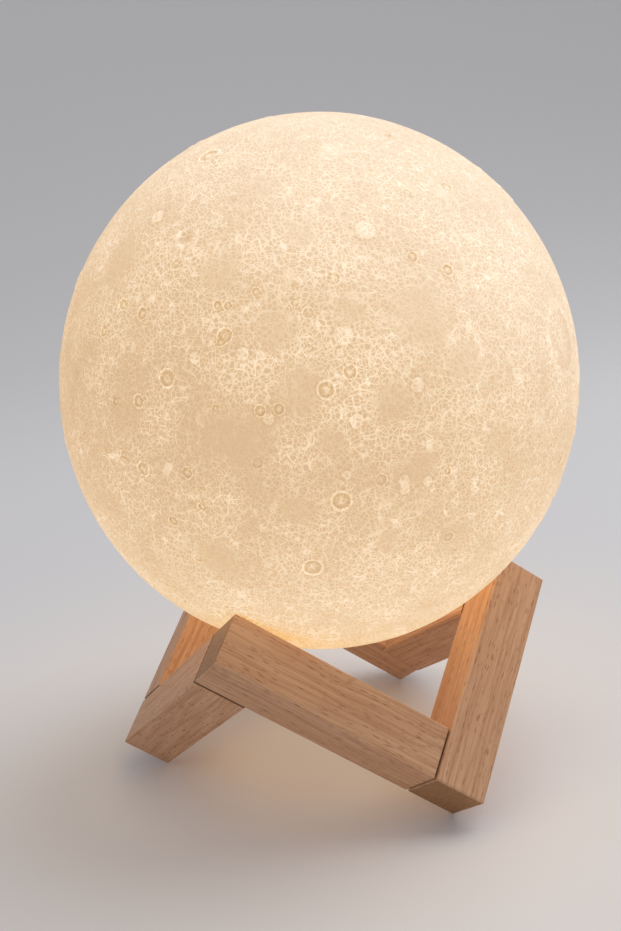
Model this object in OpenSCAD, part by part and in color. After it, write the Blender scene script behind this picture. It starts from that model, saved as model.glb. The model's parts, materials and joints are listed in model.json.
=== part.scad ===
// Moon lamp: a cratered glowing globe that rests loosely in a ring of six square wooden bars.
// Three corners of the ring are feet and three are peaks. Millimetres, +Z up, the origin on
// the floor under the middle of the globe, the front towards -Y.

/* [Globe] */
// Outer diameter of the moon globe, between its craters
globe_d = 150; // [140:1:165]
// Wall thickness of the printed globe
globe_wall = 2; // [1.6:0.1:3]
// Radius of the round mouth in the globe's underside
mouth_r = 27; // [26.8:0.1:29]
// Play between the globe and the bars it rests on
seat_gap = 0.3; // [0.2:0.05:0.5]
// Depth of the large craters' floors below the surface
crater_depth = 0.5; // [0.3:0.05:0.7]
// Height of the large craters' rims above the surface
rim_height = 0.3; // [0.1:0.05:0.4]

/* [Stand] */
// Side of the square section of every bar
bar_w = 16.5; // [15:0.1:18]
// Distance between two neighbouring corners of the ring, along a bar
bar_pitch = 71; // [69:0.5:76]
// How far the right peak sits down along the right bar, below the height of the other peaks
peak_drop = 8; // [0:0.5:9]
// Rounding of the bars' edges
bar_edge_r = 0.8; // [0.4:0.1:1.5]
// Open joint line between the end of a bar and the side of the next one
joint_gap = 0.4; // [0.1:0.1:0.6]
// Turn of the whole ring about the upright axis
ring_turn = 182; // [0:1:359]
// Radius of the hidden dowels
dowel_r = 3; // [2:0.1:4]
// Depth that a dowel reaches into the side of a bar
dowel_side_depth = 11; // [8:0.5:12.5]
// Depth that a dowel reaches into the end of a bar
dowel_end_depth = 14; // [10:0.5:20]
// Play around a dowel and past its ends
dowel_play = 0.05; // [0.02:0.01:0.1]

/* [Base unit] */
// Height of the collar bonded inside the mouth
collar_h = 9; // [7:0.5:12]
// Width of the collar's ring at its foot
collar_w = 5; // [3:0.5:6]
// Play between the base unit and the collar
base_play = 0.3; // [0.2:0.05:0.4]
// Wall thickness of the cup that holds the electronics
cup_wall = 1.8; // [1.4:0.1:2]
// Height of the cup, from the globe's mouth to its top
cup_h = 32; // [31:0.5:40]
// Thickness of the round cover under the cup
cover_t = 2.4; // [2:0.1:3]
// Radius of the shallow dish in the cover
dish_r = 17; // [16:0.5:18]
// Depth of the shallow dish in the cover
dish_depth = 0.8; // [0.4:0.1:1]
// Radius of the circle of cover screws
screw_circle_r = 22; // [21.8:0.1:22.2]
// Thread radius of the small screws
screw_r = 1.1; // [0.9:0.05:1.2]

/* [Push button] */
// Radius of the button's face
button_r = 5; // [4:0.1:5.2]
// Travel of the button until the switch clicks
button_travel = 0.6; // [0.3:0.05:0.8]
// Sideways play of the button in its hole
button_play = 0.1; // [0.05:0.01:0.2]

/* [Electronics] */
// Height of the control board above the globe's mouth
board_z = 9; // [9:0.5:10]
// Thickness of the control board
board_t = 1.6; // [1:0.1:1.6]
// Radius of the control board
board_r = 18.6; // [18:0.1:18.7]
// Width of the charging socket's metal shell
socket_w = 8.94; // [8.5:0.01:9]
// Depth of the charging socket's metal shell
socket_d = 3.26; // [3:0.01:3.4]
// Length of the battery cell
battery_l = 30; // [24:0.5:31]
// Width of the battery cell
battery_w = 20; // [16:0.5:20.5]
// Thickness of the battery cell
battery_t = 8; // [6:0.5:9]

/* [Light post] */
// Outer radius of the post that holds the lamp board
post_r = 6.5; // [6:0.1:8]
// Wall thickness of the post
post_wall = 1.5; // [1.2:0.1:2]
// Height of the post above the cup
post_h = 32; // [25:1:40]
// Length of a light on the lamp board
led_l = 3.5; // [3:0.1:4]
// Width of a light on the lamp board
led_w = 2.8; // [2.4:0.1:3]
// Radius of the heat spreader under the lamp board
spreader_r = 13; // [12.5:0.1:15]
// Thickness of the heat spreader
spreader_t = 2; // [1.5:0.1:3]
// Radius of the insulated wires
wire_r = 0.7; // [0.5:0.05:0.8]

/* [Hidden] */

$fn = 64;
eps = 0.01;

// The ring is the zigzag of six edges that runs round a cube stood on one corner, so every
// joint is a right angle and the bars climb and fall by the same slope.
bar_count = 6;
corner_step = 360 / bar_count;
cube_diagonal = sqrt(3);
bar_slope = atan(1 / sqrt(2));
ring_r = bar_pitch * sqrt(2) / cube_diagonal;
ring_rise = bar_pitch / cube_diagonal;
// Distance from a ring corner's centre to the outermost tip of its rounded bar end
tip_drop = cube_diagonal * (bar_w / 2 - bar_edge_r) + cube_diagonal / sqrt(2) * bar_edge_r;
low_corner_z = tip_drop;
high_corner_z = low_corner_z + ring_rise;

// Corner k of the ring; even corners are feet and odd ones are peaks
function corner_angle(k) = ring_turn + corner_step * k;
function corner_z(k) = k % 2 == 0 ? low_corner_z : high_corner_z;
function corner_at(k) = [ring_r * cos(corner_angle(k)), ring_r * sin(corner_angle(k)), corner_z(k)];
function bar_heading(k) = corner_angle(k) + 2 * corner_step;
function bar_tilt(k) = k % 2 == 0 ? bar_slope : -bar_slope;

// Each bar runs past its first corner and meets the side of the next bar at its far end. At the
// right peak it is the other way round: the right bar runs past, and the next one meets its side.
// That peak also sits lower, so the bar behind it leans in from there to its own foot.
long_bar = 2;
short_bar = 3;
low_peak = 3;
lean = atan(peak_drop / bar_pitch);
function bar_lean(k) = k == short_bar ? -lean : 0;
function bar_reach(k) =
    k == long_bar ? bar_pitch - peak_drop : k == short_bar ? norm([bar_pitch, peak_drop]) : bar_pitch;
function bar_start(k) = k == short_bar ? bar_w / 2 + joint_gap : -bar_w / 2;
function bar_end(k) = bar_reach(k) + (k == long_bar ? bar_w / 2 : -bar_w / 2 - joint_gap);

// First corner of bar k, which lies lower where the bar starts at the low peak
function bar_root(k) =
    let (head = bar_heading(long_bar), tilt = bar_tilt(long_bar))
    corner_at(k) - (k == low_peak ? peak_drop : 0)
        * [cos(head) * cos(tilt), sin(head) * cos(tilt), sin(tilt)];

// How far a value lies outside the span from low to high
function beyond(value, low, high) = max(low - value, value - high, 0);

// Distance to the surface of bar k from a point that lies away from the ring's middle, by aside
// towards the low peak, and z high
function away_from_bar(k, aside, z) =
    let (
        root = bar_root(k),
        far = [aside * cos(corner_angle(low_peak)) - root.x,
            aside * sin(corner_angle(low_peak)) - root.y, z - root.z],
        head = bar_heading(k),
        tilt = bar_tilt(k),
        lean_k = bar_lean(k),
        along = far.x * cos(head) + far.y * sin(head),
        across = -far.x * sin(head) + far.y * cos(head),
        lift = -along * sin(tilt) + far.z * cos(tilt),
        run = along * cos(tilt) + far.z * sin(tilt),
        side = -across * sin(45) + lift * cos(45),
        x = run * cos(lean_k) - side * sin(lean_k),
        w = run * sin(lean_k) + side * cos(lean_k),
        y = across * cos(45) + lift * sin(45),
        flat = bar_w / 2 - bar_edge_r
    )
    norm([beyond(x, bar_start(k) + bar_edge_r, bar_end(k) - bar_edge_r), beyond(y, -flat, flat),
        beyond(w, -flat, flat)]) - bar_edge_r;

// Distance from such a point to the nearest bar
function away_from_ring(aside, z) = min([for (k = [0 : bar_count - 1]) away_from_bar(k, aside, z)]);

// Height at which the globe rests on the bars, found by halving the span again and again
function seat_z(aside, low, high, steps) =
    let (middle = (low + high) / 2)
    steps == 0 ? high
    : away_from_ring(aside, middle) < globe_d / 2 + seat_gap
        ? seat_z(aside, middle, high, steps - 1)
        : seat_z(aside, low, middle, steps - 1);
function rest_z(aside) = seat_z(aside, high_corner_z, high_corner_z + globe_d, 30);

// How far the globe leans over to the low peak until it lies on the right bar as well
function seat_aside(low, high, steps) =
    let (middle = (low + high) / 2, z = rest_z(middle))
    steps == 0 ? middle
    : away_from_bar(long_bar, middle, z) > away_from_bar(long_bar - 1, middle, z)
        ? seat_aside(middle, high, steps - 1)
        : seat_aside(low, middle, steps - 1);

globe_r = globe_d / 2;
globe_inner_r = globe_r - globe_wall;
// The globe stays on the upright axis, so the ring stands aside instead
aside = seat_aside(0, peak_drop / 2, 20);
ring_at = -aside * [cos(corner_angle(low_peak)), sin(corner_angle(low_peak)), 0];
globe_z = rest_z(aside);
mouth_z = globe_z - sqrt(globe_r * globe_r - mouth_r * mouth_r);

// Base unit, heights above the globe's mouth
base_r = mouth_r - base_play;
cup_inner_r = base_r - cup_wall;
cup_top_t = 2;
cup_top_z = mouth_z + cup_h;
ceiling_z = cup_top_z - cup_top_t;
boss_r = 2.6;
boss_h = 14;
screw_head_r = 2 * screw_r;
screw_head_h = 1.2;
head_play = 0.1;
screw_l = 8;
thread_play = 0.02;
// Length of a board screw's thread inside its post
board_screw_grip = 4;

// Places on the cover and the control board
socket_at = [0, 9];
button_at = [0, -6];
light_at = [9.5, 1];
board_post_angles = [45, 135, 270];
board_post_circle = 15.6;
board_post_r = 2.3;
cover_screw_angles = [90, 210, 330];
light_pipe_r = 1.4;
// Play round the light pipe, and between it and its light
light_play = 0.05;
button_inset = 0.3;
button_lip = 1;
button_lip_t = 0.8;
stem_r = 1.75;
stem_play = 0.05;
switch_side = 6;
switch_h = 3.5;
stem_reach = 0.9;
// Free space above the stem inside the switch when the button is pressed
stem_room = 0.4;
board_bottom = mouth_z + board_z;
board_top = board_bottom + board_t;
dish_z = mouth_z + dish_depth;
switch_z = board_bottom - switch_h;
// The lip lies just inside the cover, and the cap's top meets the switch's stem
cover_in_z = mouth_z + cover_t;
lip_play = 0.1;
button_top_z = cover_in_z + lip_play + button_lip_t;

// Charging socket
socket_play = 0.2;
socket_wall = 0.3;
socket_inset = 0.3;
socket_mouth_z = dish_z + socket_inset;
socket_back_t = 1.5;
tongue_w = 6.7;
tongue_t = 0.7;
tongue_inset = 0.6;
tongue_play = 0.02;
led_side = 1.6;
charge_led_h = 0.7;

wire_turn_r = 1.6;
pad_t = 1;
battery_z = ceiling_z - pad_t - battery_t;
battery_y = -9;

// Light post and lamp board
post_flange_r = 12;
post_flange_t = 2;
post_screw_angles = [0, 180];
post_screw_circle = 9.3;
post_top_z = cup_top_z + post_h;
lamp_board_t = 1.2;
lamp_board_step = 1;
led_h = 0.8;
led_circle = 8;
led_count = 6;
lead_x = 1.6;
lead_y = 3.4;

// ---------- shared shapes ----------

// Rounded square outline
module soft_square(x, y, r) {
    union() {
        translate([r, 0]) square([x - 2 * r, y]);
        translate([0, r]) square([x, y - 2 * r]);
        for (cx = [r, x - r], cy = [r, y - r]) translate([cx, cy]) circle(r);
    }
}

// Block with all twelve edges rounded, one corner at the origin
module soft_block(x, y, z, r) {
    intersection() {
        linear_extrude(z) soft_square(x, y, r);
        translate([0, y, 0]) rotate([90, 0, 0]) linear_extrude(y) soft_square(x, z, r);
        rotate([90, 0, 90]) linear_extrude(x) soft_square(y, z, r);
    }
}

// Puts its children in the frame of bar k: X along the bar from its first corner
module on_bar(k) {
    translate(ring_at + bar_root(k)) rotate([0, 0, bar_heading(k)]) rotate([0, -bar_tilt(k), 0])
        rotate([45, 0, 0]) rotate([0, bar_lean(k), 0]) children();
}

// Dowel between bars k and k + 1, or its bore when grown. It lies along the bar that ends there
// and reaches into the side of the bar that runs past.
module dowel(k, grow) {
    length = dowel_end_depth + joint_gap + dowel_side_depth + 2 * grow;
    if (k == long_bar)
        on_bar(short_bar)
            translate([bar_start(short_bar) - joint_gap - dowel_side_depth - grow, 0, 0])
            rotate([0, 90, 0]) cylinder(r = dowel_r + grow, h = length);
    else
        on_bar(k) translate([bar_end(k) - dowel_end_depth - grow, 0, 0])
            rotate([0, 90, 0]) cylinder(r = dowel_r + grow, h = length);
}

// Block that a leaning bar is cut back by, to end along the side of bar k
module side_cut(k) {
    side = bar_w + 2 * joint_gap;
    on_bar(k) translate([-2 * bar_w, -side / 2, -side / 2]) cube([bar_pitch + 4 * bar_w, side, side]);
}

module bar(k) {
    over = k == short_bar ? bar_w * tan(lean) : 0;
    color("burlywood") difference() {
        on_bar(k) translate([bar_start(k) - over, -bar_w / 2, -bar_w / 2])
            soft_block(bar_end(k) - bar_start(k) + 2 * over, bar_w, bar_w, bar_edge_r);
        if (over > 0) side_cut(long_bar);
        if (over > 0) side_cut(short_bar + 1);
        dowel(k, dowel_play);
        dowel((k + bar_count - 1) % bar_count, dowel_play);
    }
}

// ---------- stand ----------

module left_bar() { bar(0); }
module front_bar() { bar(1); }
module right_bar() { bar(2); }
module rear_right_bar() { bar(3); }
module rear_bar() { bar(4); }
module rear_left_bar() { bar(5); }

module stand_dowels() {
    color("peru") for (k = [0 : bar_count - 1]) dowel(k, 0);
}

// ---------- globe ----------

// Craters as [angle to the right of the front, angle above the equator, radius of the rim]
craters = [
    [-31.3, 14.9, 2.2], [-39.7, 26.5, 1.7], [-38.3, 10.2, 1.7], [-38.6, -2.8, 1.8], [1.9, -9, 2.4],
    [-4.9, -23.9, 2.5], [0.4, 12.1, 2], [-60.7, -5.1, 4.7], [61.5, 12.1, 8], [-46.3, 63.7, 2.6],
    [-18.9, 22.7, 1.8], [-25.1, 18.7, 1.6], [-15.2, 19.2, 1.7], [-47.3, 46.4, 2.2],
    [-10.5, 7.6, 1.6], [4.8, 21.4, 2.3], [13.4, 40.9, 2.6], [5.7, 6, 1.8], [18, 11.1, 1.8],
    [-32.9, 41.9, 2.2], [14.2, -7.2, 1.7], [29.7, -10.3, 1.6], [-27.9, -2.8, 1.5], [27, 56, 2.4]
];

// Craters on the far side, laid out by the golden angle
far_craters = 22;
golden_angle = 137.508;
far_top = 68;
far_bottom = -28;
far_small_r = 2.4;
far_large_r = 6;
size_step = 77;
far_list = [for (i = [0 : far_craters - 1])
    [90 + (i * golden_angle) % 180, far_top - i * (far_top - far_bottom) / far_craters,
        far_small_r + (far_large_r - far_small_r) * abs(sin(i * size_step))]];

// Rims spread a little wider than their bowls
rim_spread = 1.3;
// Craters up to this radius are shallower and lower in proportion
full_crater_r = 3;
function crater_share(spot) = min(1, spot[2] / full_crater_r);

// Puts its children on the globe's surface, +Z pointing out
module on_globe(spot) {
    translate([0, 0, globe_z]) rotate([0, 0, spot[0]]) rotate([90 - spot[1], 0, 0])
        translate([0, 0, globe_r]) children();
}

// Height of the globe's surface above the flat circle of radius r that is cut from it
function cap_h(r) = globe_r - sqrt(globe_r * globe_r - r * r);

// Radius of the ball that shows as a cap or a bowl of radius r and height h
function ball_r(r, h) = (r * r + h * h) / (2 * h);

// Ball that swells the globe's surface by the height of a rim
module crater_rim(spot) {
    rise = rim_height * crater_share(spot);
    ball = ball_r(spot[2] * rim_spread, rise + cap_h(spot[2] * rim_spread));
    on_globe(spot) translate([0, 0, rise - ball]) sphere(ball);
}

// Ball that hollows out the bowl inside the rim
module crater_bowl(spot) {
    depth = crater_depth * crater_share(spot);
    rise = rim_height * crater_share(spot);
    ball = ball_r(spot[2], depth + rise / 2);
    on_globe(spot) translate([0, 0, ball - depth]) sphere(ball);
}

module moon_shell() {
    all_craters = concat(craters, far_list);
    color("linen") difference() {
        union() {
            translate([0, 0, globe_z]) sphere(globe_r);
            for (spot = all_craters) crater_rim(spot);
        }
        for (spot = all_craters) crater_bowl(spot);
        translate([0, 0, globe_z]) sphere(globe_inner_r);
        translate([0, 0, mouth_z - globe_r / 2]) cylinder(r = mouth_r, h = globe_r);
    }
}

// Printed ring bonded inside the globe, which guides and holds the base unit
module mouth_collar() {
    glue_line = 0.1;
    color("ivory") intersection() {
        translate([0, 0, globe_z]) sphere(globe_inner_r - glue_line);
        translate([0, 0, mouth_z]) difference() {
            cylinder(r = mouth_r + collar_w, h = globe_wall + collar_h);
            translate([0, 0, -eps]) cylinder(r = mouth_r, h = globe_wall + collar_h + 2 * eps);
        }
    }
}

// ---------- base unit ----------

module at_angles(angles, radius) {
    for (a = angles) rotate([0, 0, a]) translate([radius, 0, 0]) children();
}

module base_cup() {
    color("white") difference() {
        union() {
            difference() {
                translate([0, 0, cover_in_z]) cylinder(r = base_r, h = cup_h - cover_t);
                translate([0, 0, cover_in_z - eps])
                    cylinder(r = cup_inner_r, h = cup_h - cover_t - cup_top_t + eps);
            }
            intersection() {
                translate([0, 0, cover_in_z]) at_angles(cover_screw_angles, screw_circle_r)
                    cylinder(r = boss_r, h = boss_h - cover_t);
                translate([0, 0, cover_in_z]) cylinder(r = base_r, h = boss_h);
            }
        }
        at_angles(cover_screw_angles, screw_circle_r) translate([0, 0, mouth_z])
            cylinder(r = screw_r + thread_play, h = screw_l + 1);
        translate([0, 0, ceiling_z - eps]) cylinder(r = post_r - post_wall, h = cup_top_t + 2 * eps);
        at_angles(post_screw_angles, post_screw_circle) translate([0, 0, ceiling_z - eps])
            cylinder(r = screw_r + thread_play, h = cup_top_t + 2 * eps);
    }
}

// Round cover with a shallow dish and the holes for the button, the socket and the light
module base_cover() {
    color("white") difference() {
        union() {
            translate([0, 0, mouth_z]) cylinder(r = base_r, h = cover_t);
            at_angles(board_post_angles, board_post_circle) translate([0, 0, mouth_z + dish_depth])
                cylinder(r = board_post_r, h = board_z - dish_depth);
        }
        translate([0, 0, mouth_z - eps]) cylinder(r = dish_r, h = dish_depth + eps);
        translate([button_at.x, button_at.y, mouth_z - eps])
            cylinder(r = button_r + button_play, h = cover_t + 2 * eps);
        translate([light_at.x, light_at.y, mouth_z - eps])
            cylinder(r = light_pipe_r + light_play, h = cover_t + 2 * eps);
        translate([socket_at.x, socket_at.y, mouth_z - eps])
            socket_prism(socket_w + 2 * socket_play, socket_d + 2 * socket_play, cover_t + 2 * eps);
        at_angles(board_post_angles, board_post_circle)
            translate([0, 0, mouth_z + cover_t]) cylinder(r = screw_r + thread_play, h = board_z);
        at_angles(cover_screw_angles, screw_circle_r) translate([0, 0, mouth_z - eps]) {
            cylinder(r = screw_r + thread_play, h = cover_t + 2 * eps);
            cylinder(r = screw_head_r + head_play, h = screw_head_h + eps);
        }
    }
}

// Screw that points up from z = 0, its head at the bottom
module small_screw(length) {
    slot_l = 1.2 * screw_head_r;
    slot_w = 0.44 * screw_r;
    difference() {
        union() {
            cylinder(r = screw_head_r, h = screw_head_h);
            cylinder(r = screw_r, h = screw_head_h + length);
        }
        for (a = [0, 90]) rotate([0, 0, a])
            translate([-slot_l / 2, -slot_w / 2, -eps])
            cube([slot_l, slot_w, screw_head_h / 2 + eps]);
    }
}

module cover_screws() {
    color("silver") at_angles(cover_screw_angles, screw_circle_r) translate([0, 0, mouth_z])
        small_screw(screw_l - screw_head_h);
}

// ---------- push button ----------

module button_cap() {
    color("gainsboro") translate([button_at.x, button_at.y, 0]) union() {
        translate([0, 0, dish_z + button_inset])
            cylinder(r = button_r, h = button_top_z - dish_z - button_inset);
        translate([0, 0, button_top_z - button_lip_t])
            cylinder(r = button_r + button_lip, h = button_lip_t);
    }
}

module switch_stem() {
    color("dimgray") translate([button_at.x, button_at.y, button_top_z])
        cylinder(r = stem_r, h = switch_z - button_top_z + stem_reach);
}

module tact_switch() {
    color("darkgray") translate([button_at.x, button_at.y, switch_z]) difference() {
        translate([-switch_side / 2, -switch_side / 2, 0])
            cube([switch_side, switch_side, switch_h]);
        translate([0, 0, -eps])
            cylinder(r = stem_r + stem_play, h = stem_reach + button_travel + stem_room + eps);
    }
}

// ---------- electronics ----------

module control_board() {
    color("seagreen") translate([0, 0, board_bottom]) difference() {
        cylinder(r = board_r, h = board_t);
        at_angles(board_post_angles, board_post_circle) translate([0, 0, -eps])
            cylinder(r = screw_r + thread_play, h = board_t + 2 * eps);
    }
}

// Parts soldered on top of the board as [x, y, length, width, height]
chips = [
    [-8, 4, 5, 4, 1.6], [6, 4, 4, 4, 1.2], [-9, -5, 5, 5, 3], [5, -4, 3, 2.6, 1], [9, -9, 2, 1.3, 0.8],
    [-2, -12, 2, 1.3, 0.8], [2, -12, 2, 1.3, 0.8], [-4, -2, 1.6, 0.8, 0.6], [-13, 1, 1.6, 0.8, 0.6],
    [11, 3, 1.6, 0.8, 0.6]
];

module board_chips() {
    color("black") for (chip = chips)
        translate([chip[0] - chip[2] / 2, chip[1] - chip[3] / 2, board_top])
        cube([chip[2], chip[3], chip[4]]);
}

module board_screws() {
    color("silver") at_angles(board_post_angles, board_post_circle)
        translate([0, 0, board_top + screw_head_h]) mirror([0, 0, 1])
        small_screw(board_t + board_screw_grip);
}

// Upright slab with round narrow ends, centred on the origin
module socket_prism(width, depth, height) {
    linear_extrude(height) union() {
        square([width - depth, depth], center = true);
        for (side = [-1, 1]) translate([side * (width - depth) / 2, 0]) circle(depth / 2);
    }
}

module socket_shell() {
    color("silver") translate([socket_at.x, socket_at.y, socket_mouth_z]) difference() {
        socket_prism(socket_w, socket_d, board_bottom - socket_mouth_z);
        translate([0, 0, -eps]) socket_prism(socket_w - 2 * socket_wall,
            socket_d - 2 * socket_wall, board_bottom - socket_mouth_z + 2 * eps);
    }
}

// Block at the back of the socket with the thin tongue that carries the contacts
module socket_tongue() {
    color("black") translate([socket_at.x, socket_at.y, 0]) union() {
        translate([0, 0, board_bottom - socket_back_t]) socket_prism(
            socket_w - 2 * (socket_wall + tongue_play), socket_d - 2 * (socket_wall + tongue_play),
            socket_back_t);
        translate([-tongue_w / 2, -tongue_t / 2, socket_mouth_z + tongue_inset])
            cube([tongue_w, tongue_t, board_bottom - socket_back_t - socket_mouth_z]);
    }
}

module light_pipe() {
    color("white", 0.6) translate([light_at.x, light_at.y, dish_z])
        cylinder(r = light_pipe_r, h = board_bottom - charge_led_h - light_play - dish_z);
}

module charge_led() {
    color("lightyellow") translate([light_at.x - led_side / 2, light_at.y - led_side / 2,
        board_bottom - charge_led_h]) cube([led_side, led_side, charge_led_h]);
}

module battery_cell() {
    edge = 1.5;
    color("lightsteelblue")
        translate([-battery_l / 2, battery_y - battery_w / 2, battery_z])
        soft_block(battery_l, battery_w, battery_t, edge);
}

module battery_pad() {
    margin = 3;
    color("gray") translate([margin - battery_l / 2, battery_y - battery_w / 2 + margin, ceiling_z - pad_t])
        cube([battery_l - 2 * margin, battery_w - 2 * margin, pad_t]);
}

module battery_leads() {
    out = 2.2;
    lead_z = battery_z + battery_t / 2;
    lead_ys = [-4, -6.5];
    color("firebrick") for (y = lead_ys) translate([battery_l / 2, y, 0]) union() {
        translate([0, 0, lead_z]) rotate([0, 90, 0]) cylinder(r = wire_r, h = out - wire_turn_r);
        translate([out - wire_turn_r, 0, lead_z - wire_turn_r]) rotate([90, 0, 0])
            rotate_extrude(angle = 90) translate([wire_turn_r, 0]) circle(wire_r);
        translate([out, 0, board_top]) cylinder(r = wire_r, h = lead_z - wire_turn_r - board_top);
    }
}

// ---------- light post ----------

module light_post() {
    color("white") translate([0, 0, cup_top_z]) difference() {
        union() {
            cylinder(r = post_flange_r, h = post_flange_t);
            cylinder(r = post_r, h = post_h);
        }
        translate([0, 0, -eps]) cylinder(r = post_r - post_wall, h = post_h + 2 * eps);
        at_angles(post_screw_angles, post_screw_circle) translate([0, 0, -eps])
            cylinder(r = screw_r + thread_play, h = post_flange_t + 2 * eps);
    }
}

module post_screws() {
    color("silver") at_angles(post_screw_angles, post_screw_circle)
        translate([0, 0, cup_top_z + post_flange_t + screw_head_h]) mirror([0, 0, 1])
        small_screw(post_flange_t + cup_top_t);
}

module heat_spreader() {
    color("silver") translate([0, 0, post_top_z]) cylinder(r = spreader_r, h = spreader_t);
}

module lamp_board() {
    color("white") translate([0, 0, post_top_z + spreader_t])
        cylinder(r = spreader_r - lamp_board_step, h = lamp_board_t);
}

module lamp_leds() {
    color("khaki") translate([0, 0, post_top_z + spreader_t + lamp_board_t]) {
        for (k = [0 : led_count - 1]) rotate([0, 0, k * 360 / led_count])
            translate([led_circle - led_l / 2, -led_w / 2, 0]) cube([led_l, led_w, led_h]);
        translate([-led_l / 2, -led_w / 2, 0]) cube([led_l, led_w, led_h]);
    }
}

// The two wires rise past the battery, through the cup's top and up inside the post
module lamp_leads() {
    color("firebrick") for (x = [-lead_x, lead_x]) translate([x, lead_y, board_top])
        cylinder(r = wire_r, h = post_top_z - board_top);
}

front_bar();
right_bar();
rear_right_bar();
rear_bar();
rear_left_bar();
left_bar();
stand_dowels();
moon_shell();
mouth_collar();
base_cup();
base_cover();
cover_screws();
button_cap();
switch_stem();
tact_switch();
control_board();
board_chips();
board_screws();
socket_shell();
socket_tongue();
light_pipe();
charge_led();
battery_cell();
battery_pad();
battery_leads();
light_post();
post_screws();
heat_spreader();
lamp_board();
lamp_leds();
lamp_leads();
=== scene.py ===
"""Dresses the moon lamp: the printed moon, the beech stand, the base with its works, and the stage."""

import json
import math
import random

import bmesh
import bpy
from bpy.props import FloatProperty, FloatVectorProperty, IntProperty, PointerProperty
from mathutils import Euler, Matrix, Vector, kdtree, noise

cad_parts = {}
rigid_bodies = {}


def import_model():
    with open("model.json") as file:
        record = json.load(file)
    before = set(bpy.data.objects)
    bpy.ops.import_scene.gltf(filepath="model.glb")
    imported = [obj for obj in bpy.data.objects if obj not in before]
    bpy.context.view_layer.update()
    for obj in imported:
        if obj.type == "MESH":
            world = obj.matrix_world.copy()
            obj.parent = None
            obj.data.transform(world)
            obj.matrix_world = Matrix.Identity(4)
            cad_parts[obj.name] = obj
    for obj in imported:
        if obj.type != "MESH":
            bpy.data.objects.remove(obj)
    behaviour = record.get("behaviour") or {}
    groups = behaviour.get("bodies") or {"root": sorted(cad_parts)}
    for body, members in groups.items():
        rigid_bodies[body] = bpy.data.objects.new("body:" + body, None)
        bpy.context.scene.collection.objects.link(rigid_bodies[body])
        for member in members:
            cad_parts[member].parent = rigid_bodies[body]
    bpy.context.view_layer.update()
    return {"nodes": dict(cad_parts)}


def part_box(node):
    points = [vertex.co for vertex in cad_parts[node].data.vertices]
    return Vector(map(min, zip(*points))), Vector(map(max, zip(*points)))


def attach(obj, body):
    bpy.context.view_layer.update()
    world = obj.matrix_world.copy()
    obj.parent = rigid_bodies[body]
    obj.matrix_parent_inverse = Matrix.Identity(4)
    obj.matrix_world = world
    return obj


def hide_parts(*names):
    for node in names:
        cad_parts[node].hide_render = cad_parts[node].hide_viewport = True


bl_info = {
    "name": "Moon lamp",
    "version": (1, 0, 0),
    "blender": (4, 5, 0),
    "location": "3D View > Sidebar > Moon lamp",
    "description": "Dresses the moon lamp's frame and sets up its camera, floor and lights",
    "category": "Object",
}

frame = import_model()

MM = 0.001

# The moon's features: degrees to the right of the front, degrees above the middle, radius in millimetres.
# Rings are craters with a rim, discs are flat bright spots in a dark halo, pits are small dark holes, and
# glows are soft bright spots.
RINGS = [
    (-31.1, 12.6, 1.9), (-38.6, 24, 1.4), (-38, 8.4, 1.5), (-38.6, -4.1, 1.6), (-44.4, 8.1, 1),
    (0.7, -10.4, 2.1), (-5.8, -24.6, 2.2), (-28.2, -4.3, 1.3), (-26.3, -10.9, 1), (-34, -14.4, 1.3),
    (-21, 25.1, 1), (-18.8, 24.9, 1), (-5.6, 24.8, 1), (-19.9, 18.6, 1), (-12.8, 6.7, 1.2), (-9.4, 6.9, 1.2),
    (-0.9, 9.6, 1.8), (3.6, 12.3, 1.4), (21.2, -7.1, 1), (-60.5, -5.4, 4.6), (57.7, 12.1, 7.8),
    (-13.2, 27.1, 1), (-40.2, 59.7, 2.4), (-19.1, 19.7, 1.6),
]
DISCS = [
    (-25.1, 16.1, 1.4), (-15.7, 16.4, 1.5), (-44.2, 43.4, 2), (-11.3, 5.3, 1.4), (3.1, 18.5, 2.1),
    (10.4, 37.1, 2.4), (4.2, 3.9, 1.6), (15.8, 9, 1.6), (6.3, 10.2, 1.1), (12.5, -7.6, 1.4),
    (12.7, -9.4, 1.4), (17.2, -8.5, 1.3), (27.6, -10, 1.3), (27.9, -12, 1.3), (1.8, -5.5, 1.2),
    (2.1, 15.6, 1), (31.2, 2.1, 0.9),
]
PITS = [
    (-31.4, 38.4, 2), (-26.6, 63.9, 1.1), (-28.1, -10.4, 1), (-5.9, 27.9, 1),
]
GLOWS = [
    (-6.4, 29.2, 2.1), (-33.6, 39.4, 1), (-28.7, 37.5, 1), (-32.9, 36.7, 1.2), (-40.9, 57.3, 1.5),
    (-41.3, 19.1, 1), (-39.7, 18, 1), (-37.7, 17.4, 1), (-37, 15.6, 1), (-35.3, 18, 1.3), (-59.5, 33, 1.4),
    (-50.8, 27.7, 1.3), (-3.5, 13.5, 1.4), (13.4, 19.7, 1.1), (43.2, 15.1, 1.5), (38.6, 25.9, 2),
    (35.7, 44.1, 2.6), (-23.4, 7.3, 1), (-14.3, 9.4, 1), (-19.9, -9.4, 1.5), (-21.1, -12, 1),
    (-21.5, -14.8, 1), (-11.8, -10.6, 1.2), (-6.8, -20.4, 1.9), (-23.5, -32, 2.1), (8, 1.9, 1),
    (16.5, -12.9, 1.9), (8.6, -11.7, 2.1), (22.5, -9.7, 1.3), (16.4, 14.9, 1.1), (8.1, 57.7, 4.1),
    (-6.3, 47.2, 2), (23.7, 15.8, 1.9), (39.1, 6.9, 2.5), (45.2, -1.5, 3.1),
]
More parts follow.
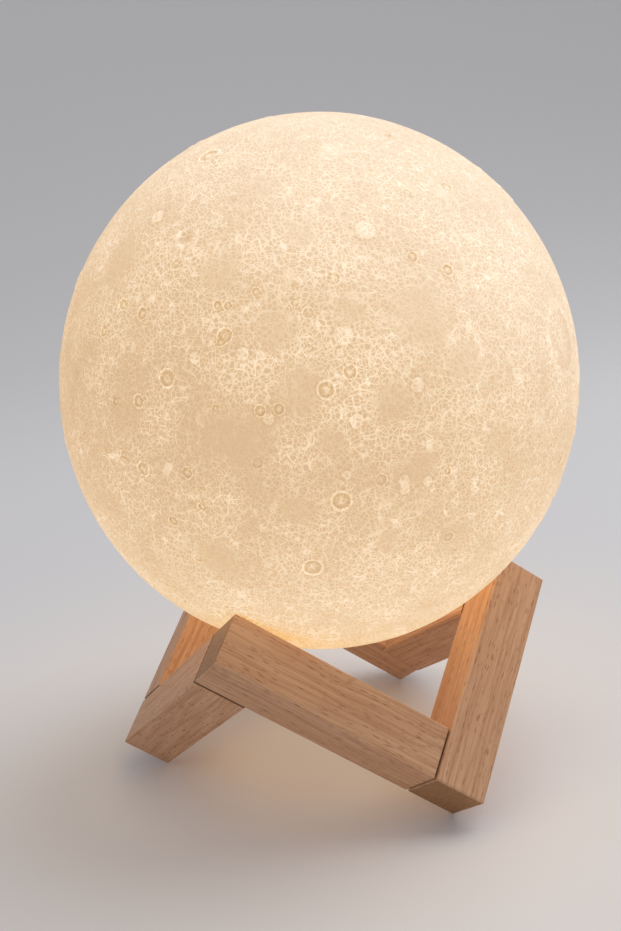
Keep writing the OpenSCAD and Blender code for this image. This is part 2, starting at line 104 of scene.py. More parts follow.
# Seas are calm stretches. The last six, at the side and the back, are made up, because the photograph
# doesn't show that part.
SEAS = [
    (-14.2, 48.6, 4.2), (18.6, 20.6, 9.5), (26.2, 12.1, 6.2), (4.5, 23.1, 4.2), (-17.8, 1.8, 9),
    (-5.5, 9.9, 7), (15.6, -5.8, 4.8), (9.9, -19.6, 4.2), (-7, -11.6, 5.3), (-51.4, 34.5, 7.8),
    (-21.2, 31.5, 5.7), (-9.5, 20.3, 6), (10.7, 6.9, 5.7), (33.2, -3.2, 5.5), (-0.7, 1, 4.2),
    (-27, -22.9, 6.7), (25.2, -22.4, 6.6), (-4.1, 37.2, 4.8), (95, 10, 14), (140, 25, 18), (-110, 5, 16),
    (-150, -15, 14), (175, 0, 20), (120, -25, 12),
]
# Each ridge runs through its points, given as the degrees alone.
RIDGES = [
    [(29.1, 27.3), (27.6, 21.1), (29.3, 17), (30, 13.8), (28.9, 8.5)],
    [(5.1, -21.8), (7.4, -18.1), (9.1, -16.9), (11.1, -15.3), (16.5, -12.9)],
    [(10.3, -24.2), (18.5, -22.6)],
    [(-28.7, 22.1), (-19.9, 23.2), (-11.8, 24.5)],
    [(-22.1, 14.3), (-12, 15.3), (-1.9, 15.4)],
    [(4.1, 30.9), (9.2, 31.1), (15, 30.6)],
    [(0.2, 25.1), (4.1, 26.1), (7.3, 23.9)],
]

# How far a crater's marks reach, and a distance that stands for "no crater near", as shares of its radius.
MARK_REACH = 1.9
FAR_SHARE = 3.0
# Rings are drawn a little wider than their list says, and the two broad ones, from this radius up, fainter.
RING_SPREAD = 1.15
BROAD_RING = 3
BROAD_WEIGHT = 0.3
# From this radius up only a crater's rim is cut finer, by this much to either side, in millimetres.
RIM_ONLY, RIM_MARGIN = 3, 1.2
# Strewn craters: smallest and largest radius, how much larger the few large ones are, and their share.
STREWN_SMALL, STREWN_LARGE = 1.0, 2.0
STREWN_GROWTH, STREWN_SHARE = 2.2, 0.15
# Clear space in millimetres between a strewn crater and a listed one, and how low they go on a globe of
# radius 1.
STREWN_CLEAR = 1.5
LOWEST_CRATER = -0.8
# In front, as far as this cosine from FRONT_WAY, no strewn crater is larger than this radius in millimetres.
FRONT_WAY, FRONT_COSINE, FRONT_LARGEST = (0, 5), 0.35, 1.6
# Height in metres of the broad and the fine swell of the surface.
BROAD_SWELL, FINE_SWELL = 0.00006, 0.00005
# Ridges, in millimetres: the step along the line, half the drawn width, and how far from the line they reach.
RIDGE_STEP, RIDGE_HALF, RIDGE_REACH = 0.5, 0.45, 0.9
# How far a ridge sways from its line on a globe of radius 1, and how many sways there are to a radius.
RIDGE_SWAY, RIDGE_SWAYS = 0.02, 22.0

# Glow across a ring and a disc, from its middle at 0 over its edge at 0.5: 0.5 is the plain wall's.
RING_STOPS = [
    (0.0, 0.66), (0.12, 0.60), (0.26, 0.34), (0.40, 0.20), (0.47, 0.84), (0.51, 0.82), (0.60, 0.42),
    (0.8, 0.5), (1.0, 0.5),
]
DISC_STOPS = [(0.0, 0.66), (0.30, 0.68), (0.42, 0.74), (0.52, 0.50), (0.58, 0.36), (0.70, 0.46), (1.0, 0.5)]
# The webs of fine ridges: fineness against the web cell, a line's width as a share of a cell, and strength.
WEBS = [(1.0, 0.14, 0.85), (0.45, 0.06, 1.0)]
WEB_SWAY = 0.0022
# Where the daylight in the print comes from: up and to the right.
DAYLIGHT_WAY = (0.45, -0.1, 0.9)

# The stand: six bars in a ring, each turned from the one before it by 60 degrees. The rear right bar leans
# in from a lower peak than the others.
BARS = ["left_bar", "front_bar", "right_bar", "rear_right_bar", "rear_bar", "rear_left_bar"]
BAR_TILT = math.degrees(math.atan(1 / math.sqrt(2)))
RING_TURN = 182.0
LONG_BAR = "right_bar"
LEANING_BAR = "rear_right_bar"
# In millimetres: from corner to corner, the gap where a bar meets its neighbour, and how much lower the low
# peak lies along the right bar.
BAR_PITCH, JOINT_GAP, PEAK_DROP = 71, 0.4, 8
BAR_LENGTH = (BAR_PITCH - JOINT_GAP) * MM
LEAN = math.atan(PEAK_DROP / BAR_PITCH)
# Stands for "no joint" on the bars whose ends run on or are cut at an angle.
NO_JOINT = 1.0
# Width across the grain of the cell that holds a fleck, as a share of the fleck's length.
FLECK_CELL = 0.18
# The painted shadow line at a joint, and the stretch over which it starts.
JOINT_SHADOW_WIDTH, JOINT_SHADOW_FADE = 0.4 * MM, 0.1 * MM

# The stage, in metres: where the camera and the large soft lamp are, and what the lamp is aimed at.
CAMERA_PLACE = (-0.0124877, -0.3174509, 0.1643895)
KEY_PLACE = (0.65, 0.30, 1.45)
KEY_AIM = (0, 0, 0.08)
KEY_WIDTH = 1.2
# The moon's light is a ball a little wider than the moon.
MOONLIGHT_RADIUS = 0.0765
# The floor's half width, its front and back edges, the radius of the bend behind it and its top's height.
FLOOR_HALF, FLOOR_FRONT, FLOOR_BACK, FLOOR_BEND, FLOOR_TOP = 5.0, -2.0, 0.9, 2.6, 5.0
FLOOR_STEPS = 15


def linear(hex_colour):
    """The linear colour of an sRGB hex value."""
    parts = [int(hex_colour[place : place + 2], 16) / 255 for place in (1, 3, 5)]
    return [part / 12.92 if part <= 0.04045 else ((part + 0.055) / 1.055) ** 2.4 for part in parts]


def colour(name, description, hex_colour):
    """A colour that a user would change, given as an sRGB hex value."""
    return FloatVectorProperty(
        name=name, description=description, subtype="COLOR", size=3, min=0, max=1, default=linear(hex_colour)
    )


def rgba(value):
    """A colour with its alpha."""
    return (*value[:3], 1.0)


def greys(stops):
    """A ramp's stops, from places and grey values."""
    return [(place, (value, value, value, 1.0)) for place, value in stops]


def node(tree, kind, inputs=None, **settings):
    """Adds a node, makes its settings, and fills or links its sockets by name or number.

    Map Range takes its range by number: 1 and 2 are where the value runs from, 3 and 4 where it runs to.
    """
    made = tree.nodes.new(kind)
    for key, value in settings.items():
        if key == "stops":
            ramp = made.color_ramp
            ramp.elements[0].position, ramp.elements[0].color = value[0]
            ramp.elements[1].position, ramp.elements[1].color = value[-1]
            for place, shade in value[1:-1]:
                ramp.elements.new(place).color = shade
        else:
            setattr(made, key, value)
    for key, value in (inputs or {}).items():
        if isinstance(value, bpy.types.NodeSocket):
            tree.links.new(value, made.inputs[key])
        else:
            made.inputs[key].default_value = value
    return made


def start_material(name):
    """A new material with an empty node tree, and the tree."""
    material = bpy.data.materials.new(name)
    material.use_nodes = True
    material.node_tree.nodes.clear()
    return material, material.node_tree


def end_material(tree, shader_inputs):
    """Adds the surface shader and joins it to the material's output."""
    shader = node(tree, "ShaderNodeBsdfPrincipled", shader_inputs)
    node(tree, "ShaderNodeOutputMaterial", {"Surface": shader.outputs["BSDF"]})


def dress(name, material):
    """Gives a node of the frame its material."""
    for place in frame["nodes"][name].material_slots:
        place.material = material


def middle(name):
    """The middle of a node's box."""
    lower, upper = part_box(name)
    return (lower + upper) / 2


def finish_piece(bm, name, body, materials, replaced):
    """Makes the mesh an object that rides on a body, in place of the nodes it stands for."""
    mesh = bpy.data.meshes.new(name)
    bm.to_mesh(mesh)
    bm.free()
    piece = bpy.data.objects.new(name, mesh)
    bpy.context.scene.collection.objects.link(piece)
    for material in materials:
        mesh.materials.append(material)
    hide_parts(*replaced)
    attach(piece, body)


def direction(right, up):
    """The direction from the moon's middle, from degrees to the right of the front and degrees above."""
    a, e = math.radians(right), math.radians(up)
    return Vector((math.sin(a) * math.cos(e), -math.cos(a) * math.cos(e), math.sin(e)))


class MoonSettings(bpy.types.PropertyGroup):
    """Sizes, colours and glow of the printed moon"""

    radius: FloatProperty(
        name="Radius",
        description="Outer radius of the moon between its craters",
        default=0.075,
        unit="LENGTH",
        precision=4,
    )
    mouth: FloatProperty(
        name="Mouth",
        description="Radius of the mouth in the underside",
        default=0.027,
        unit="LENGTH",
        precision=4,
    )
    wall: FloatProperty(
        name="Wall", description="Thickness of the printed wall", default=0.002, unit="LENGTH", precision=4
    )
    rim_height: FloatProperty(
        name="Rim height", description="Height of a crater's rim", default=0.00028, unit="LENGTH", precision=5
    )
    crater_depth: FloatProperty(
        name="Crater depth",
        description="Depth of a crater's floor",
        default=0.0004,
        unit="LENGTH",
        precision=5,
    )
    web_cell: FloatProperty(
        name="Web cell",
        description="Size of the cells between the fine ridges",
        default=0.0011,
        unit="LENGTH",
        precision=5,
    )
    small_craters: IntProperty(
        name="Small craters",
        description="How many small craters are strewn over the moon",
        default=150,
        min=0,
        max=250,
    )
    seed: IntProperty(name="Seed", description="Start value of the strewn craters", default=11)
    floor_colour: colour("Floor colour", "Glow of the thick walls and crater floors", "#AA7418")
    mid_colour: colour("Middle colour", "Glow of the plain wall", "#C58F20")
    ridge_colour: colour("Ridge colour", "Glow of the thin ridges", "#F6D5A8")
    print_colour: colour("Print colour", "Colour of the print where daylight falls on it", "#A9BCCA")
    glow: FloatProperty(
        name="Glow", description="Strength of the light that comes through the wall", default=1.0, min=0
    )


class BeechSettings(bpy.types.PropertyGroup):
    """Colours and grain of the stand's beech"""

    pale_colour: colour("Pale colour", "Beech between the growth lines", "#DAAE8A")
    warm_colour: colour("Warm colour", "Beech along the growth lines", "#BA8562")
    fleck_colour: colour("Fleck colour", "Beech's short dark ray flecks", "#8A5434")
    end_colour: colour("End grain colour", "Beech where it is cut across the grain", "#A4784F")
    fleck_length: FloatProperty(
        name="Fleck length",
        description="Length of a ray fleck along the grain",
        default=0.0023,
        unit="LENGTH",
        precision=5,
    )
    growth_width: FloatProperty(
        name="Growth width",
        description="Distance between growth lines",
        default=0.0009,
        unit="LENGTH",
        precision=5,
    )


class BaseSettings(bpy.types.PropertyGroup):
    """Colours of the base and its works"""

    white_colour: colour("White", "Moulded white plastic", "#EDECE7")
    grey_colour: colour("Grey", "Moulded grey plastic of the button", "#9A9C9F")
    black_colour: colour("Black", "Moulded black plastic", "#1C1C1E")
    board_colour: colour("Board", "Solder mask of the control board", "#1F6B3A")
    wire_colour: colour("Wire", "Sleeve of the wires", "#B4231E")
    foil_colour: colour("Foil", "Pouch of the battery", "#B9BCC0")


class StageSettings(bpy.types.PropertyGroup):
    """Floor, lights and camera of the picture"""

    # Paler than the far floor: painted light under the lamp.
    near_painted_light_colour: colour("Near floor", "Floor under the lamp", "#EAE7E8")
    far_colour: colour("Far floor", "Floor far behind the lamp", "#E4E3E6")
    sky: FloatProperty(
        name="Sky", description="Strength of the even light from all round", default=0.48, min=0
    )
    key: FloatProperty(name="Key", description="Power of the large soft lamp", default=9.0, min=0)
    glow: FloatProperty(
        name="Glow",
        description="Power of the light that the moon throws on its stand and floor",
        default=0.076,
        min=0,
    )
    glow_colour: colour("Glow colour", "Colour of the light that the moon throws", "#FFE3B4")
    azimuth: FloatProperty(
        name="Azimuth", description="Degrees that the camera stands to the right of the front", default=-0.770
    )
    elevation: FloatProperty(
        name="Elevation", description="Degrees that the camera looks down", default=22.577
    )
    roll: FloatProperty(name="Roll", description="Degrees that the camera is rolled", default=4.255)
    lens: FloatProperty(
        name="Lens", description="Focal length in millimetres on a 36 mm high sensor", default=40.575
    )
    shift: FloatProperty(
        name="Shift", description="Rise of the lens, as a share of the picture's height", default=0.2089
    )


class MOONLAMP_OT_moon(bpy.types.Operator):
    """Models the printed moon with its craters, ridges and seas, over the plain shell of the frame"""

    bl_idname = "moonlamp.moon"
    bl_label = "Printed moon"

    def execute(self, context):
        settings = context.scene.moonlamp_moon
        plain = settings.radius
        mouth_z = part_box("moon_shell")[0].z
        middle_z = mouth_z + math.sqrt(plain**2 - settings.mouth**2)
        mouth = mouth_z - middle_z
        bm = bmesh.new()
        bmesh.ops.create_icosphere(bm, subdivisions=7, radius=plain)
        whole = bm.verts[:] + bm.edges[:] + bm.faces[:]
        bmesh.ops.bisect_plane(
            bm, geom=whole, plane_co=(0, 0, mouth), plane_no=(0, 0, -1), clear_outer=True
        )
        marks = self.marks(settings, plain)
        steps = self.ridge_steps(settings, plain)
        # Two passes, the second one a little closer in round each crater.
        for reach_share in (1.5, 1.35):
            self.refine(bm, plain, marks, steps, reach_share)
        self.shape(bm, settings, self.field(bm, plain, marks, steps))
        self.close_inside(bm, plain - settings.wall, mouth)
        bmesh.ops.triangulate(bm, faces=bm.faces[:])
        bmesh.ops.translate(bm, verts=bm.verts[:], vec=(0, 0, middle_z))
        for face in bm.faces:
            face.smooth = True
        materials = [self.print_material(settings), inner_material()]
        finish_piece(bm, "moon_surface", "globe", materials, ["moon_shell"])
        return {"FINISHED"}

    @staticmethod
    def strewn(settings, plain):
        """Small craters at seeded random places, clear of the listed ones and none of the larger in front."""
        chance = random.Random(settings.seed)
        found = []
        while len(found) < settings.small_craters:
            spot = Vector([chance.gauss(0, 1) for _ in range(3)]).normalized()
            size = chance.uniform(STREWN_SMALL, STREWN_LARGE)
            size *= STREWN_GROWTH if chance.random() < STREWN_SHARE else 1
            near_front = spot.dot(direction(*FRONT_WAY)) > FRONT_COSINE and size > FRONT_LARGEST
            crowded = any(
                (spot - direction(a, e)).length * plain / MM < size + r + STREWN_CLEAR
                for a, e, r in RINGS + DISCS
            )
            if spot.z > LOWEST_CRATER and not near_front and not crowded:
                found.append((spot, size, chance.uniform(0.5, 1.0)))
        return found

    def marks(self, settings, plain):
        """Every crater, spot and sea as its direction, radius, kind and weight."""
        found = [
            (direction(a, e), r * RING_SPREAD, "ring", 1.0 if r < BROAD_RING else BROAD_WEIGHT)
            for a, e, r in RINGS
        ]
        for kind, listed in (("disc", DISCS), ("pit", PITS), ("glow", GLOWS), ("sea", SEAS)):
            found += [(direction(a, e), r, kind, 1.0) for a, e, r in listed]
        found += [(spot, size, "ring", weight) for spot, size, weight in self.strewn(settings, plain)]
        return found

    @staticmethod
    def ridge_steps(settings, plain):
        """Directions at short steps along the ridges, swayed a little."""
        # Without a seed the noise vectors start from the clock, and each run sways the ridges another way.
        noise.seed_set(settings.seed)
        steps = []
        for ridge in RIDGES:
            points = [direction(a, e) for a, e in ridge]
            for start, end in zip(points, points[1:]):
                count = max(2, round((end - start).length * plain / MM / RIDGE_STEP))
                places = [start.lerp(end, i / count) for i in range(count + 1)]
                for place in places:
                    sway = RIDGE_SWAY * noise.noise_vector(place * RIDGE_SWAYS)
                    steps.append((place + sway).normalized())
        return steps

    def field(self, bm, plain, marks, steps):
        """What the marks and ridges add up to at each vertex: glow, rise, calm, and the nearest crater."""
        tree = self.tree(bm)
        count = len(bm.verts)
        found = {key: [0.0] * count for key in ("glow", "rise", "calm", "weight")}
        found.update({key: [FAR_SHARE] * count for key in ("ring", "disc")})
        for spot, size, kind, weight in marks:
            reach = size * (1.0 if kind == "sea" else MARK_REACH)
            for _, index, away in tree.find_range(spot * plain, reach * MM):
                share = away / MM / size
                glow, rise = self.mark(kind, share)
                if kind == "sea":
                    found["calm"][index] = max(found["calm"][index], glow)
                    continue
                found["glow"][index] += glow * weight
                found["rise"][index] += rise * weight
                if kind in ("ring", "disc") and share < found[kind][index]:
                    found[kind][index] = share
                    found["weight"][index] = weight
        for place in steps:
            strength = 0.55 + noise.noise(place * 30.0)
            for _, index, away in tree.find_range(place * plain, RIDGE_REACH * MM):
                fade = strength * math.exp(-((away / MM / RIDGE_HALF) ** 2))
                found["glow"][index] = max(found["glow"][index], 0.7 * fade)
                found["rise"][index] = max(found["rise"][index], 0.6 * fade)
        return found

    @staticmethod
    def shape(bm, settings, found):
        """Raises and sinks the vertices, and keeps what the material reads as attributes."""
        layers = {key: bm.verts.layers.float.new(key) for key in ("glow", "calm", "ring", "disc", "weight")}
        for index, vert in enumerate(bm.verts):
            found["glow"][index] = max(-1.0, min(1.2, found["glow"][index]))
            for key, layer in layers.items():
                vert[layer] = found[key][index]
            if vert.is_boundary:
                continue
            way = vert.co.normalized()
            broad = noise.fractal(way * 5.0, 0.9, 2.1, 4)
            fine = noise.ridged_multi_fractal(way * 26.0, 0.8, 2.2, 3, 1.0, 2.0) * 0.5 - 0.55
            rise = found["rise"][index]
            height = BROAD_SWELL * broad + FINE_SWELL * fine * (1.0 - 0.8 * found["calm"][index])
            height += rise * (settings.rim_height if rise > 0 else settings.crater_depth)
            height = min(max(height, -settings.crater_depth), settings.rim_height)
            vert.co = way * (settings.radius + height)

    @staticmethod
    def tree(bm):
        """A search tree of the vertices."""
        found = kdtree.KDTree(len(bm.verts))
        for index, vert in enumerate(bm.verts):
            found.insert(vert.co, index)
        found.balance()
        return found

    def refine(self, bm, plain, marks, steps, reach_share):
        """Cuts the faces near the craters and ridges finer, and sets the new vertices on the sphere."""
        tree = self.tree(bm)
        near = set()
        for spot, size, kind, _ in marks:
            if kind in ("sea", "glow"):
                continue
            inner = 0.0 if size < RIM_ONLY else size - RIM_MARGIN
            outer = size * reach_share if size < RIM_ONLY else size + RIM_MARGIN
            for _, index, away in tree.find_range(spot * plain, outer * MM):
                if away > inner * MM:
                    near.add(index)
        for place in steps:
            for _, index, _ in tree.find_range(place * plain, RIDGE_REACH * MM):
                near.add(index)
        # The tree counts the vertices in their order, and this gives them the same numbers.
        bm.verts.index_update()
        edges = [e for e in bm.edges if e.verts[0].index in near and e.verts[1].index in near]
        bmesh.ops.subdivide_edges(bm, edges=edges, cuts=1, use_grid_fill=True)
        bmesh.ops.triangulate(bm, faces=[f for f in bm.faces if len(f.verts) > 3])
        for vert in bm.verts:
            if not vert.is_boundary:
                vert.co = vert.co.normalized() * plain

    @staticmethod
    def mark(kind, share):
        """Glow and height of a mark, at a distance given as a share of its radius."""
        if kind == "ring":
            rim = math.exp(-(((share - 1.0) / 0.15) ** 2))
            moat = math.exp(-(((share - 0.7) / 0.2) ** 2))
            return 0.0, rim - 0.8 * moat
        if kind == "disc":
            disc = 1.0 / (1.0 + math.exp((share - 0.85) / 0.09))
            halo = math.exp(-(((share - 1.25) / 0.22) ** 2))
            return 0.0, 0.6 * disc - 0.25 * halo
        if kind == "pit":
            pit = math.exp(-((share / 0.7) ** 2))
            rim = math.exp(-(((share - 1.15) / 0.2) ** 2))
            return 0.45 * rim - 0.6 * pit, 0.6 * rim - 0.9 * pit
        if kind == "glow":
            return 0.6 * math.exp(-((share / 0.7) ** 2)), 0.3 * math.exp(-((share / 0.7) ** 2))
        soft = max(0.0, 1.0 - share * share)
        return min(1.0, 1.3 * soft), 0.0

    @staticmethod
    def close_inside(bm, inner, mouth):
        """Turns the wall in at the mouth and closes the inside up to its top."""
        loop = [e for e in bm.edges if e.is_boundary]
        start = math.acos(-mouth / inner)
        rings = 14
        for i in range(rings + 1):
            angle = start + (math.pi - start) * i / (rings + 1)
            made = bmesh.ops.extrude_edge_only(bm, edges=loop)["geom"]
            verts = [v for v in made if isinstance(v, bmesh.types.BMVert)]
            loop = [e for e in made if isinstance(e, bmesh.types.BMEdge)]
            width, height = inner * math.sin(angle), -inner * math.cos(angle)
            for vert in verts:
                flat = Vector((vert.co.x, vert.co.y, 0)).normalized()
                vert.co = flat * width + Vector((0, 0, height))
            for face in {f for v in verts for f in v.link_faces}:
                face.material_index = 1
        bmesh.ops.contextual_create(bm, geom=loop, mat_nr=1)

    @staticmethod
    def crater_glow(tree, name, ragged, stops):
        """How much more or less light comes through at a crater, from the distance to its middle."""
        share = node(tree, "ShaderNodeAttribute", attribute_name=name).outputs["Fac"]
        uneven = node(tree, "ShaderNodeMath", {0: ragged, 1: 0.30, 2: share}, operation="MULTIPLY_ADD")
        place = node(tree, "ShaderNodeMath", {0: uneven.outputs[0], 1: 0.5}, operation="MULTIPLY")
        profile = node(tree, "ShaderNodeValToRGB", {0: place.outputs[0]}, stops=greys(stops))
        signed = {0: profile.outputs["Color"], 1: 2.0, 2: -1.0}
        return node(tree, "ShaderNodeMath", signed, operation="MULTIPLY_ADD").outputs[0]

    @staticmethod
    def web(tree, where, sway, calm, settings):
        """The web of fine ridges: small cells all over, larger ones here and there, stronger in patches."""
        shift = node(
            tree, "ShaderNodeVectorMath", {0: sway.outputs["Color"], 1: (0.5, 0.5, 0.5)}, operation="SUBTRACT"
        )
        bent = node(
            tree,
            "ShaderNodeVectorMath",
            {0: shift.outputs[0], 1: (WEB_SWAY, WEB_SWAY, WEB_SWAY), 2: where},
            operation="MULTIPLY_ADD",
        ).outputs[0]
        patch_look = {"Vector": where, "Scale": 70.0, "Detail": 5.0, "Roughness": 0.7}
        patch = node(tree, "ShaderNodeTexNoise", patch_look)
        rough = node(
            tree, "ShaderNodeMapRange", {"Value": patch.outputs[0], 1: 0.38, 2: 0.62, 3: 0.5, 4: 1.0}
        )
        keep = node(tree, "ShaderNodeMath", {0: calm, 1: -0.6, 2: 1.0}, operation="MULTIPLY_ADD")
        rugged = node(
            tree, "ShaderNodeMath", {0: rough.outputs[0], 1: keep.outputs[0]}, operation="MULTIPLY"
        )
        lines = []
        for fineness, width, strength in WEBS:
            cells = node(
                tree,
                "ShaderNodeTexVoronoi",
                {"Vector": bent, "Scale": fineness / settings.web_cell},
                feature="DISTANCE_TO_EDGE",
            )
            stops = [(0.0, strength), (width * 0.55, 0.6 * strength), (width, 0.2), (0.5, 0.0)]
            line = node(
                tree, "ShaderNodeValToRGB", {0: cells.outputs["Distance"]}, stops=greys(stops)
            )
            lines.append(line.outputs["Color"])
        both = node(tree, "ShaderNodeMath", {0: lines[0], 1: lines[1]}, operation="MAXIMUM")
        return node(
            tree, "ShaderNodeMath", {0: both.outputs[0], 1: rugged.outputs[0]}, operation="MULTIPLY"
        ).outputs[0]

    def craters(self, tree, sway):
        """The glow of the rings and discs, each as strong as its crater's weight."""
        weight = node(tree, "ShaderNodeAttribute", attribute_name="weight").outputs["Fac"]
        ragged = node(tree, "ShaderNodeMath", {0: sway.outputs[0], 1: 0.5}, operation="SUBTRACT").outputs[0]
        rings = self.crater_glow(tree, "ring", ragged, RING_STOPS)
        discs = self.crater_glow(tree, "disc", ragged, DISC_STOPS)
        both = node(tree, "ShaderNodeMath", {0: rings, 1: discs}, operation="ADD").outputs[0]
        return node(tree, "ShaderNodeMath", {0: both, 1: weight}, operation="MULTIPLY").outputs[0]

    def print_material(self, settings):
        """Printed PLA lit from inside: matt, with ridges and rims that glow paler than the crater floors."""
        material, tree = start_material("printed_pla_moon")
        where = node(tree, "ShaderNodeTexCoord").outputs["Object"]
        sway = node(tree, "ShaderNodeTexNoise", {"Vector": where, "Scale": 160.0, "Detail": 1.0})
        calm = node(tree, "ShaderNodeAttribute", attribute_name="calm").outputs["Fac"]
        mark = node(tree, "ShaderNodeAttribute", attribute_name="glow").outputs["Fac"]
        web = self.web(tree, where, sway, calm, settings)
        craters = self.craters(tree, sway)
        # Print grain of 0.1 mm, drawn 0.5 mm wide so that it shows.
        grain_look = {"Vector": where, "Scale": 1 / (0.5 * MM), "Detail": 3.0, "Roughness": 0.8}
        grain = node(tree, "ShaderNodeTexNoise", grain_look).outputs[0]
        broad = node(tree, "ShaderNodeTexNoise", {"Vector": where, "Scale": 24.0, "Detail": 4.0}).outputs[0]
        # The photograph's globe glows brighter low down.
        parts = node(tree, "ShaderNodeSeparateXYZ", {0: where})
        low = node(
            tree,
            "ShaderNodeMapRange",
            {"Value": parts.outputs["Z"], 1: 0.05, 2: 0.12, 3: 0.30, 4: 0.0},
            interpolation_type="SMOOTHSTEP",
        ).outputs[0]
        # The photograph's globe is paler at the top right, from daylight that the stage's lamp gives only in
        # part. The wall is even, so this share stands for that daylight and stays under other light.
        slant = node(
            tree, "ShaderNodeVectorMath", {0: where, 1: DAYLIGHT_WAY}, operation="DOT_PRODUCT"
        )
        daylight = node(
            tree,
            "ShaderNodeMapRange",
            {"Value": slant.outputs["Value"], 1: 0.085, 2: 0.18, 3: 0.0, 4: 0.32},
            interpolation_type="SMOOTHSTEP",
        ).outputs[0]
        # How much of each goes into the glow, from a little below none.
        value = -0.17
        for source, share in (
            (web, 0.72),
            (grain, 0.42),
            (craters, 0.42),
            (mark, 0.36),
            (broad, 0.22),
            (calm, 0.07),
            (low, 1.0),
            (daylight, 1.0),
        ):
            value = node(
                tree, "ShaderNodeMath", {0: source, 1: share, 2: value}, operation="MULTIPLY_ADD"
            ).outputs[0]
        ramp = node(
            tree,
            "ShaderNodeValToRGB",
            {0: value},
            stops=[
                (0.0, rgba(settings.floor_colour)),
                (0.38, rgba(settings.mid_colour)),
                (1.0, rgba(settings.ridge_colour)),
            ],
        )
        height = web
        for source in (craters, grain):
            height = node(
                tree, "ShaderNodeMath", {0: source, 1: 0.8, 2: height}, operation="MULTIPLY_ADD"
            ).outputs[0]
        bump = node(tree, "ShaderNodeBump", {"Strength": 1.0, "Distance": 0.25 * MM, "Height": height})
        end_material(
            tree,
            {
                "Base Color": rgba(settings.print_colour),
                "Roughness": 0.62,
                "IOR": 1.46,
                "Sheen Weight": 0.12,
                "Emission Color": ramp.outputs["Color"],
                "Emission Strength": settings.glow,
                "Normal": bump.outputs["Normal"],
            },
        )
        return material


def inner_material():
    """Printed PLA inside the wall and on the collar: fine layer lines round the lamp's own axis."""
    material, tree = start_material("printed_pla_inner")
    where = node(tree, "ShaderNodeTexCoord").outputs["Object"]
    # Layers of 0.2 mm, drawn 0.4 mm apart so that they show.
    layers = node(
        tree,
        "ShaderNodeTexWave",
        {"Vector": where, "Scale": 1 / (0.4 * MM) / math.tau},
        wave_type="BANDS",
        bands_direction="Z",
    )
    stain = node(tree, "ShaderNodeTexNoise", {"Vector": where, "Scale": 90.0, "Detail": 3.0})
    shade = node(
        tree,
        "ShaderNodeMix",
        {0: stain.outputs[0], 6: rgba(linear("#EFE3CC")), 7: rgba(linear("#F7EFDF"))},
        data_type="RGBA",
    )
    bump_look = {"Strength": 0.4, "Distance": 0.1 * MM, "Height": layers.outputs["Fac"]}
    bump = node(tree, "ShaderNodeBump", bump_look)
    end_material(
        tree,
        {"Base Color": shade.outputs[2], "Roughness": 0.6, "IOR": 1.46, "Normal": bump.outputs["Normal"]},
    )
    return material


